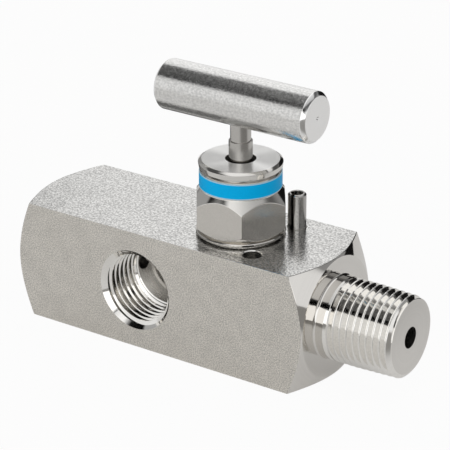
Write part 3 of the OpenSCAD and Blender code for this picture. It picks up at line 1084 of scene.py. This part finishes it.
    def build(self) -> Piece:
        """Makes the whole body.

        Returns:
            The finished piece.
        """
        piece = self.block()
        carve(piece, self.nipple(), Cut.JOINED)
        tip_x = self.nipple_end_x + self.nipple_len
        outlet_z = self.width - self.seat_depth + self.outlet_passage_r + self.outlet_gap
        for tool in (
            turn_solid("cross_bore", stepped(-self.width, (self.cross_bore_r, self.width)), Axis.REAR,
                       (-self.side_port_x, 0, BODY_AXIS_Z), finish=DRILLED),
            self.bonnet_hole(),
            self.pin_hole(-1),
            self.pin_hole(1),
            self.passage("inlet", self.inlet_r, -self.inlet_r, tip_x + OVER),
            self.passage("end_passage", self.end_passage_r, -self.port_end_x + OVER, -self.side_port_x),
            self.passage("outlet", self.outlet_passage_r, -self.side_port_x, 0, outlet_z),
        ):
            carve(piece, tool, Cut.AWAY)
        tools = self.port_tools()
        half = self.width / 2
        for inward, x, y in (
            (Axis.REAR, -self.side_port_x, -half),
            (Axis.FRONT, -self.side_port_x, half),
            (Axis.NIPPLE, -self.port_end_x, 0),
        ):
            self.bore_port(piece, tools, inward, (x, y, BODY_AXIS_Z))
        for tool in tools:
            bpy.data.objects.remove(tool)
        return deliver(piece, "valve_body", "root")


@dataclass
class Bonnet:
    """Hexagon with its neck, screwed shank and packing chamber, in millimetres above the body."""

    hex_af: float = 22.0
    hex_turn: float = 5.0
    hex_shoulder_z: float = 11.5
    hex_top_angle: float = 52.0
    washer_face_r: float = 9.7
    washer_face_h: float = 0.4
    flange_r: float = 11.35
    flange_low_z: float = 0.5
    flange_top_z: float = 1.2
    neck_r: float = 10.2
    neck_top_z: float = 16.95
    shank_r: float = 9.0
    shank_len: float = 7.6
    shank_chamfer: float = 0.3
    shank_top_z: float = 0.3
    relief_w: float = 1.2
    relief_depth: float = 0.6
    chamber_r: float = 5.2
    backseat_z: float = -0.6
    stem_hole_r: float = 4.05
    packing_floor_z: float = 0.4
    packing_r: float = 6.0
    packing_top_z: float = 9.2
    adjuster_r: float = 7.03
    broken_edge: float = 0.13

    def head(self) -> Piece:
        """Makes the hexagon with its chamfers, washer face, thin flange and neck.

        Returns:
            The head.
        """
        flat_to_corner = 30.0
        corner_r = self.hex_af / 2 / math.cos(math.radians(flat_to_corner))
        clear_r = corner_r + OVER
        slope = math.tan(math.radians(self.hex_top_angle))
        neck_z = self.hex_shoulder_z + (self.hex_af / 2 - self.neck_r) * slope
        bpy.ops.object.select_all(action="DESELECT")
        bpy.ops.mesh.primitive_cylinder_add(vertices=6, radius=corner_r, depth=self.neck_top_z)
        piece = bpy.context.active_object
        piece.rotation_euler.z = math.radians(self.hex_turn - flat_to_corner)
        piece.location.z = BODY_WIDTH + self.neck_top_z / 2
        bpy.ops.object.transform_apply(location=True, rotation=True, scale=True)
        turned = turn_solid("bonnet_outline", [
            (0, 0),
            (self.washer_face_r, 0),
            (self.washer_face_r, self.washer_face_h),
            (clear_r, self.washer_face_h + clear_r - self.washer_face_r),
            (clear_r, neck_z - (clear_r - self.neck_r) * slope),
            (self.neck_r, neck_z),
            (self.neck_r, self.neck_top_z),
            (0, self.neck_top_z),
        ], centre=TOP_CENTRE)
        carve(piece, turned, Cut.COMMON)
        mend_shell(piece)
        soften(piece, self.broken_edge, sharper_than=30.0)
        flange = turn_solid("bonnet_flange", [
            (0, self.flange_low_z),
            *edged(self.flange_r, self.flange_low_z, self.flange_top_z, self.broken_edge),
            (0, self.flange_top_z),
        ], centre=TOP_CENTRE)
        carve(piece, flange, Cut.JOINED)
        return piece

    def build(self) -> Piece:
        """Makes the whole bonnet, with its bevelled faces bright from turning.

        Returns:
            The finished piece.
        """
        piece = self.head()
        relief_r = self.shank_r - self.relief_depth
        shank = turn_solid("bonnet_shank", [
            (0, -self.shank_len),
            (self.shank_r - self.shank_chamfer, -self.shank_len),
            (self.shank_r, -self.shank_len + self.shank_chamfer),
            (self.shank_r, -self.relief_w),
            (relief_r, -self.relief_w),
            (relief_r, self.shank_top_z),
            (0, self.shank_top_z),
        ], centre=TOP_CENTRE)
        carve(piece, shank, Cut.JOINED)
        inside = stepped(-self.shank_len - OVER, (self.chamber_r, self.backseat_z),
                         (self.stem_hole_r, self.packing_floor_z), (self.packing_r, self.packing_top_z),
                         (self.adjuster_r, self.neck_top_z + OVER))
        carve(piece, turn_solid("bonnet_bore", inside, centre=TOP_CENTRE), Cut.AWAY)
        wear(piece, BONNET_SATIN, (TURNED_EDGE, lambda face: TILTED < abs(face.normal.z) < FLAT))
        return deliver(piece, "bonnet", "root")


@dataclass
class DustCap:
    """Turned disc on the neck, with a groove below its rim, in millimetres above the body."""

    spigot_z: float = 15.95
    seat_z: float = 16.95
    rim_z: float = 17.85
    shoulder_z: float = 19.25
    top_z: float = 19.85
    pocket_top_z: float = 18.25
    spigot_r: float = 7.0
    pocket_r: float = 5.23
    hole_r: float = 3.85
    groove_r: float = 9.6
    rim_r: float = 10.4
    outer_r: float = 10.65
    top_r: float = 9.8
    broken_edge: float = 0.1

    def build(self) -> Piece:
        """Makes the cap.

        Returns:
            The finished piece.
        """
        piece = turn_solid("dust_cap", [
            (self.pocket_r, self.spigot_z),
            (self.spigot_r, self.spigot_z),
            (self.spigot_r, self.seat_z),
            (self.groove_r, self.seat_z),
            (self.groove_r, self.rim_z),
            (self.rim_r, self.rim_z),
            (self.outer_r, self.shoulder_z),
            (self.top_r, self.top_z),
            (self.hole_r, self.top_z),
            (self.hole_r, self.pocket_top_z),
            (self.pocket_r, self.pocket_top_z),
        ], centre=TOP_CENTRE)
        soften(piece, self.broken_edge, sharper_than=30.0)
        wear(piece, CAP_TURNED, (TURNED_EDGE, lambda face: abs(face.normal.z) < FLAT))
        return deliver(piece, "dust_cap", "root")


@dataclass
class ColourBand:
    """Thin blue sleeve on the bonnet's neck, with a pale border at both edges, in millimetres."""

    border: Triple = (0.50, 0.74, 0.88)
    border_w: float = 0.28
    border_blur: float = 0.05
    gloss: float = 0.06
    thickness: float = 0.22
    rounding: float = 0.08

    def material(self, low_z: float, high_z: float) -> bpy.types.Material:
        """Makes the band's paint.

        Args:
            low_z: Height of the band's lower edge in metres.
            high_z: Height of its upper edge in metres.

        Returns:
            The material.
        """
        paint = BAND_PAINT.build()
        bench = NodeBench(paint.node_tree)
        shader = paint.node_tree.nodes["Principled BSDF"]
        blue = shader.inputs["Base Color"].links[0].from_socket
        height = bench.parts(bench.place())["Z"]
        off_middle = bench.math("ABSOLUTE", bench.math("SUBTRACT", height, (low_z + high_z) / 2))
        reach = (high_z - low_z) / 2 - self.border_w * MM
        blur = self.border_blur * MM
        edge = bench.ramp(off_middle, reach - blur, reach + blur)
        bench.feed(shader.inputs["Base Color"], bench.mix(edge, blue, self.border))
        shader.inputs["Specular IOR Level"].default_value = self.gloss
        return paint

    def build(self) -> Piece:
        """Makes the band.

        Returns:
            The finished piece.
        """
        low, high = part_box("colour_band")
        outer_r = high.x / MM
        inner_r = outer_r - self.thickness
        low_z, high_z = low.z / MM, high.z / MM
        piece = turn_solid("colour_band", [
            (inner_r, low_z),
            *edged(outer_r, low_z, high_z, self.rounding),
            (inner_r, high_z),
        ])
        piece.data.materials.append(self.material(low.z, high.z))
        return deliver(piece, "colour_band", "root")


@dataclass
class LockPin:
    """Slotted spring pin beside the hexagon, in millimetres."""

    outer_r: float = 2.35
    wall: float = 0.85
    proud: float = 9.3
    length: float = 16.0
    slot_w: float = 1.2
    slot_angle: float = 236.0
    chamfer: float = 0.4
    broken_edge: float = 0.1

    def build(self) -> Piece:
        """Makes the pin by sweeping its wall almost all the way round.

        Returns:
            The finished piece.
        """
        top = BODY_WIDTH + self.proud
        bottom = top - self.length
        inner_r = self.outer_r - self.wall
        half_gap = math.asin(self.slot_w / 2 / self.outer_r)
        first = math.radians(self.slot_angle) + half_gap
        ray = Vector((math.cos(first), math.sin(first), 0))
        centre = Vector((PIN_OFFSET, PIN_OFFSET, 0))
        section = [
            (inner_r, bottom + self.broken_edge),
            (inner_r + self.broken_edge, bottom),
            *edged(self.outer_r, bottom, top, self.chamfer),
            (inner_r + self.broken_edge, top),
            (inner_r, top - self.broken_edge),
        ]
        points = [centre + ray * radius + Vector((0, 0, z)) for radius, z in section]
        piece = draw_wire("lock_pin", points, closed=True)
        spin_round(piece, centre, Axis.UP, SMALL_STEPS, FULL_TURN - 2 * half_gap)
        soften(piece, self.broken_edge, sharper_than=40.0)
        wear(piece, PIN_ROLLED)
        return deliver(piece, "bonnet_lock_pin", "root")


@dataclass
class Spindle:
    """Stepped spindle with its socket for the needle, in millimetres above the body."""

    bottom_z: float = -9.395
    edge: float = 0.3
    guide_r: float = 4.0
    collar_r: float = 4.6
    collar_low_z: float = -7.6
    collar_high_z: float = -6.2
    thread_top_z: float = 12.0
    neck_r: float = 3.0
    step_low_z: float = 24.66
    step_high_z: float = 24.78
    step_parts: int = 8
    tip_r: float = 2.6
    top_z: float = 36.6
    socket_r: float = 2.45
    socket_top_z: float = -2.1
    groove_r: float = 2.88
    groove_low_z: float = -7.8275
    groove_high_z: float = -7.1675

    def step(self) -> list[tuple[float, float]]:
        """Draws the shoulder between neck and tip, slightly rounded.

        Returns:
            The shoulder's points for the outline.
        """
        rise = self.step_high_z - self.step_low_z
        drop = self.neck_r - self.tip_r
        shares = [i / self.step_parts for i in range(self.step_parts + 1)]
        return [(self.neck_r - drop * (1 - math.cos(math.pi * share)) / 2, self.step_low_z + rise * share)
                for share in shares]

    def build(self) -> Piece:
        """Makes the spindle.

        Returns:
            The finished piece.
        """
        backseat_z = self.collar_high_z + self.collar_r - self.guide_r
        piece = turn_solid("spindle", [
            (0, self.bottom_z),
            (self.guide_r - self.edge, self.bottom_z),
            (self.guide_r, self.bottom_z + self.edge),
            (self.guide_r, self.collar_low_z),
            (self.collar_r, self.collar_low_z),
            (self.collar_r, self.collar_high_z),
            (self.guide_r, backseat_z),
            (self.guide_r, self.thread_top_z - self.guide_r + self.neck_r),
            (self.neck_r, self.thread_top_z),
            *self.step(),
            (self.tip_r, self.top_z),
            (0, self.top_z),
        ], centre=TOP_CENTRE, finish=STEM_TURNED)
        socket = stepped(self.bottom_z - OVER, (self.socket_r, self.groove_low_z),
                         (self.groove_r, self.groove_high_z), (self.socket_r, self.socket_top_z))
        carve(piece, turn_solid("needle_socket", socket, centre=TOP_CENTRE, finish=DRILLED), Cut.AWAY)
        return deliver(piece, "spindle", "spindle_assembly")


@dataclass
class Handle:
    """Round bar across the spindle, in millimetres."""

    radius: float = 6.495
    length: float = 44.5
    chamfer: float = 0.9
    broken_edge: float = 0.12
    end_normal_x: float = 0.2
    centre_mark_r: float = 0.45
    socket_r: float = 2.63
    socket_top: float = 1.5
    screw_hole_r: float = 2.03

    def build(self) -> Piece:
        """Makes the bar with its centre marks, socket and screw hole.

        Returns:
            The finished piece.
        """
        half = self.length / 2
        centre = (0, 0, BAR_AXIS_Z)
        mark = self.centre_mark_r
        piece = turn_solid("tbar", [
            (0, -half + mark),
            (mark, -half),
            *edged(self.radius, -half, half, self.chamfer),
            (mark, half),
            (0, half - mark),
        ], Axis.NIPPLE, centre)
        soften(piece, self.broken_edge, sharper_than=35.0)
        wear(piece, BAR_DRAWN, (BAR_END, lambda face: abs(face.normal.x) > self.end_normal_x))
        clear = self.radius + OVER
        for name, outline, axis in (
            ("socket", stepped(-clear, (self.socket_r, self.socket_top)), Axis.UP),
            ("screw_hole", stepped(0, (self.screw_hole_r, clear)), Axis.REAR),
        ):
            carve(piece, turn_solid(name, outline, axis, centre, SMALL_STEPS, DRILLED), Cut.AWAY)
        return deliver(piece, "tbar_handle", "spindle_assembly")


@dataclass
class InnerPieces:
    """The pieces that keep their CAD meshes, by the finish that they get."""

    nodes: dict[Finish, tuple[str, ...]] = field(default_factory=lambda: {
        GASKET_GRAPHITE: ("bonnet_gasket",),
        PACKING_WHITE: ("packing_ring_lower", "packing_ring_middle", "packing_ring_upper"),
        STEM_TURNED: ("packing_washer_lower", "packing_washer_upper", "packing_adjuster",
                      "adjuster_lock_ring", "needle_tip"),
        WIPER_BLACK: ("spindle_wiper",),
        BALL_POLISHED: ("thrust_ball",),
        PIN_ROLLED: ("tip_retaining_ring", "handle_set_screw"),
    })

    def dress(self) -> None:
        """Puts each finish on its nodes' own material slots."""
        for finish, nodes in self.nodes.items():
            for node in nodes:
                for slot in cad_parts[node].material_slots:
                    slot.material = material_of(finish)
                LOG.info("%s keeps its CAD mesh, finished as %s", node, finish.name)


@dataclass(frozen=True)
class SoftBox:
    """One light at the side, by the fades of its edges along a ray's three coordinates."""

    level: float
    x: tuple[Fade, ...]
    z: tuple[Fade, ...]
    y: tuple[Fade, ...]

    def light(self, bench: NodeBench, toward: Feed) -> Socket:
        """Finds the box's light for a ray.

        Args:
            bench: The world's nodes.
            toward: The ray's direction.

        Returns:
            The light.
        """
        x, y, z = bench.parts(toward)
        edges = [(part, edge) for part, fades in ((x, self.x), (z, self.z), (y, self.y)) for edge in fades]
        return bench.product(*(bench.fade(part, edge) for part, edge in edges), self.level)


@dataclass
class LightTent:
    """White tent with dark gaps between its soft boxes, as light over a ray's direction.

    A fade is a pair of values, where a light is out and where it is full. The tops
    and sides of backdrop and front are planes, given by what they weigh the ray's
    coordinates with. The overhead box is flat, at height 1 above the valve.
    """

    backdrop_top: Triple = (-0.586, 1.474, -1.0)
    backdrop_top_fade: Fade = (-0.03, 0.03)
    backdrop_sides: tuple[Triple, Triple] = ((0.743, 0.669, 0.0), (-0.891, -0.454, 0.0))
    backdrop_side_fade: Fade = (-0.03, 0.05)
    backdrop_spread: float = 1.2
    spread_from_z: float = 0.45
    front_top: Triple = (-0.10, -1.044, -1.0)
    front_top_fade: Fade = (0.04, 0.10)
    front_x: Fade = (-0.5, 0.45)
    front_levels: tuple[float, float] = (0.78, 1.3)
    lowest_z: float = 0.05
    overhead_left_at: Fade = (-0.50, -0.35)
    overhead_left: tuple[float, float] = (-0.30, -0.55)
    overhead_left_fade: Fade = (-0.13, 0.30)
    overhead_right_fade: Fade = (1.30, 1.15)
    overhead_front_at: Fade = (0.48, 0.60)
    overhead_front: tuple[float, float] = (-1.2, -0.70)
    overhead_front_fade: Fade = (0.0, 0.1)
    overhead_back_fade: Fade = (1.10, 0.95)
    overhead_across: Fade = (0.0, 1.1)
    overhead_levels: tuple[float, float] = (1.0, 0.5)
    right: SoftBox = SoftBox(0.85, x=((0.78, 0.88),), z=((0.42, 0.26),), y=((-0.42, -0.28),))
    left: SoftBox = SoftBox(0.38, x=((-0.74, -0.82),), z=((0.02, 0.10), (0.66, 0.58)),
                            y=((-0.50, -0.40), (0.45, 0.30)))
    seam_fade: Fade = (-0.20, -0.25)
    room_z: Fade = (0.35, 0.55)
    room_levels: tuple[float, float] = (0.28, 0.08)

    def backdrop(self, bench: NodeBench, toward: Feed) -> Socket:
        """Finds the light behind the valve, whose sides spread towards the top.

        Args:
            bench: The world's nodes.
            toward: The ray's direction.

        Returns:
            The light.
        """
        above = bench.math("SUBTRACT", bench.parts(toward)["Z"], self.spread_from_z)
        spread = bench.product(bench.math("MAXIMUM", above, 0.0), self.backdrop_spread)
        sides = [bench.math("ADD", bench.dot(toward, side), spread) for side in self.backdrop_sides]
        return bench.product(
            bench.fade(bench.dot(toward, self.backdrop_top), self.backdrop_top_fade),
            *(bench.fade(side, self.backdrop_side_fade) for side in sides))

    def overhead(self, bench: NodeBench, toward: Feed) -> Socket:
        """Finds the light above the valve, with a step in its front edge and in its left one.

        Args:
            bench: The world's nodes.
            toward: The ray's direction.

        Returns:
            The light.
        """
        x, y, z = bench.parts(toward)
        height = bench.math("MAXIMUM", z, self.lowest_z)
        across = bench.math("DIVIDE", x, height)
        away = bench.math("DIVIDE", y, height)
        left = bench.ramp(away, *self.overhead_left_at, *self.overhead_left)
        front = bench.ramp(across, *self.overhead_front_at, *self.overhead_front)
        return bench.product(
            bench.fade(bench.math("SUBTRACT", across, left), self.overhead_left_fade),
            bench.fade(across, self.overhead_right_fade),
            bench.fade(bench.math("SUBTRACT", away, front), self.overhead_front_fade),
            bench.fade(away, self.overhead_back_fade),
            bench.ramp(across, *self.overhead_across, *self.overhead_levels))

    def light(self, bench: NodeBench, toward: Feed) -> Socket:
        """Finds the whole tent's light for a ray.

        Args:
            bench: The world's nodes.
            toward: The ray's direction.

        Returns:
            The light.
        """
        x, _, z = bench.parts(toward)
        below_front = bench.dot(toward, self.front_top)
        level = bench.product(bench.ramp(z, *self.room_z, *self.room_levels),
                              bench.fade(below_front, self.seam_fade))
        for panel in (
            self.backdrop(bench, toward),
            bench.product(bench.fade(below_front, self.front_top_fade),
                          bench.ramp(x, *self.front_x, *self.front_levels)),
            self.overhead(bench, toward),
            self.right.light(bench, toward),
            self.left.light(bench, toward),
        ):
            level = bench.math("MAXIMUM", level, panel)
        return level

    def build(self) -> None:
        """Sets the world to the light tent, and to plain white for the camera."""
        world = bpy.data.worlds.new("light_tent")
        bpy.context.scene.world = world
        world.use_nodes = True
        bench = NodeBench(world.node_tree)
        toward = bench.node("ShaderNodeTexCoord").outputs["Generated"]
        tent, white = (
            bench.fed(bench.node("ShaderNodeBackground"), (1.0, 1.0, 1.0), level)
            for level in (self.light(bench, toward), 1.0))
        camera_ray = bench.node("ShaderNodeLightPath").outputs["Is Camera Ray"]
        bench.finish_with("World Output", camera_ray, tent, white)


@dataclass
class Studio:
    """Pale floor in a light tent, with black cards, in metres where nothing else is said.

    Towards the right front the floor is darker and has no glow. This is painted shade
    that only shows in reflections. The card behind the body is painted shade on the
    floor, also seen only in reflections. The cards' corners are in millimetres.
    """

    floor_size: float = 3.0
    floor_z: float = -0.00005
    floor_tint: Triple = (0.80, 0.79, 0.775)
    # Painted shade on the floor at the right front, seen only in reflections.
    shaded_tint: Triple = (0.40, 0.39, 0.375)
    shaded_x: Fade = (0.055, 0.10)
    shaded_y: Fade = (0.09, 0.02)
    floor_glow: float = 0.95
    table_glow: float = 0.23
    card_black: Triple = (0.01, 0.01, 0.01)
    tent: LightTent = field(default_factory=LightTent)
    cards: dict[str, tuple[Triple, Triple]] = field(default_factory=lambda: {
        # A black card lying behind the body: painted shade where the body's shadow falls on the floor, seen
        # only in reflections.
        "card_behind_body": ((-150, 18, 0.5), (-30, 200, 1.0)),
        "card_behind_right": ((-95, 350, 0), (165, 351, 220)),
        "card_far_right": ((165, 350, 0), (300, 351, 75)),
    })

    def floor(self) -> None:
        """Adds the floor: white with a faint shadow, and painted shade at the right front in reflections.
        """
        bpy.ops.object.select_all(action="DESELECT")
        bpy.ops.mesh.primitive_plane_add(size=self.floor_size, location=(0, 0, self.floor_z))
        plane = bpy.context.active_object
        plane.name = "studio_floor"
        material = bpy.data.materials.new("floor_paper")
        material.use_nodes = True
        tree = material.node_tree
        tree.nodes.remove(tree.nodes["Principled BSDF"])
        bench = NodeBench(tree)
        parts = bench.parts(bench.place())
        # Painted shade: towards the right front the floor darkens and loses its glow for reflection rays,
        # while the camera still sees white.
        shaded = bench.product(bench.fade(parts["X"], self.shaded_x), bench.fade(parts["Y"], self.shaded_y))
        table = bench.ramp(shaded, 0.0, 1.0, self.table_glow, 0.0)
        camera_ray = bench.node("ShaderNodeLightPath").outputs["Is Camera Ray"]
        paper = bench.fed(bench.node("ShaderNodeBsdfDiffuse"),
                          bench.mix(shaded, self.floor_tint, self.shaded_tint))
        glow = bench.node("ShaderNodeEmission")
        glow.inputs["Strength"].default_value = 1.0
        bench.finish_with("Material Output", bench.ramp(camera_ray, 0.0, 1.0, table, self.floor_glow),
                          paper, glow)
        plane.data.materials.append(material)

    def card(self, name: str, low: Triple, high: Triple) -> None:
        """Adds a black card that only shows in reflections.

        Args:
            name: Name of the card.
            low: Lowest corner in millimetres.
            high: Highest corner in millimetres.
        """
        panel = box_solid(name, [part * MM for part in low], [part * MM for part in high])
        material = bpy.data.materials.new(name)
        material.use_nodes = True
        shader = material.node_tree.nodes["Principled BSDF"]
        shader.inputs["Base Color"].default_value = (*self.card_black, 1.0)
        shader.inputs["Specular IOR Level"].default_value = 0.0
        panel.data.materials.append(material)
        panel.visible_camera = False
        panel.visible_diffuse = False
        panel.visible_shadow = False

    def build(self) -> None:
        """Makes the floor, the tent and the black cards."""
        self.floor()
        self.tent.build()
        for name, corners in self.cards.items():
            self.card(name, *corners)
        bpy.context.scene.view_settings.view_transform = "Standard"


@dataclass
class Portrait:
    """Camera at the photograph's place, in millimetres from the frame's origin.

    The three directions are the camera's own right, up and back.
    """

    place: Triple = (278.26, -411.39, 253.96)
    right: Triple = (0.82491, 0.56525, -0.00442)
    up: Triple = (-0.22586, 0.33676, 0.91410)
    back: Triple = (0.51818, -0.75305, 0.40547)
    lens: float = 173.08
    nearest: float = 10.0

    def build(self) -> None:
        """Adds the camera."""
        data = bpy.data.cameras.new("portrait")
        data.lens = self.lens
        data.clip_start = self.nearest * MM
        camera = bpy.data.objects.new("portrait", data)
        bpy.context.scene.collection.objects.link(camera)
        turn = Matrix((self.right, self.up, self.back)).transposed()
        camera.matrix_world = Matrix.Translation(Vector(self.place) * MM) @ turn.to_4x4()
        bpy.context.scene.camera = camera


def main() -> None:
    """Builds the sub-assemblies in order."""
    Portrait().build()
    Studio().build()
    for assembly in (Body(), Bonnet(), DustCap(), ColourBand(), LockPin(), Spindle(), Handle()):
        assembly.build()
        LOG.info("%s is built", type(assembly).__name__)
    InnerPieces().dress()


if __name__ == "__main__":
    main()
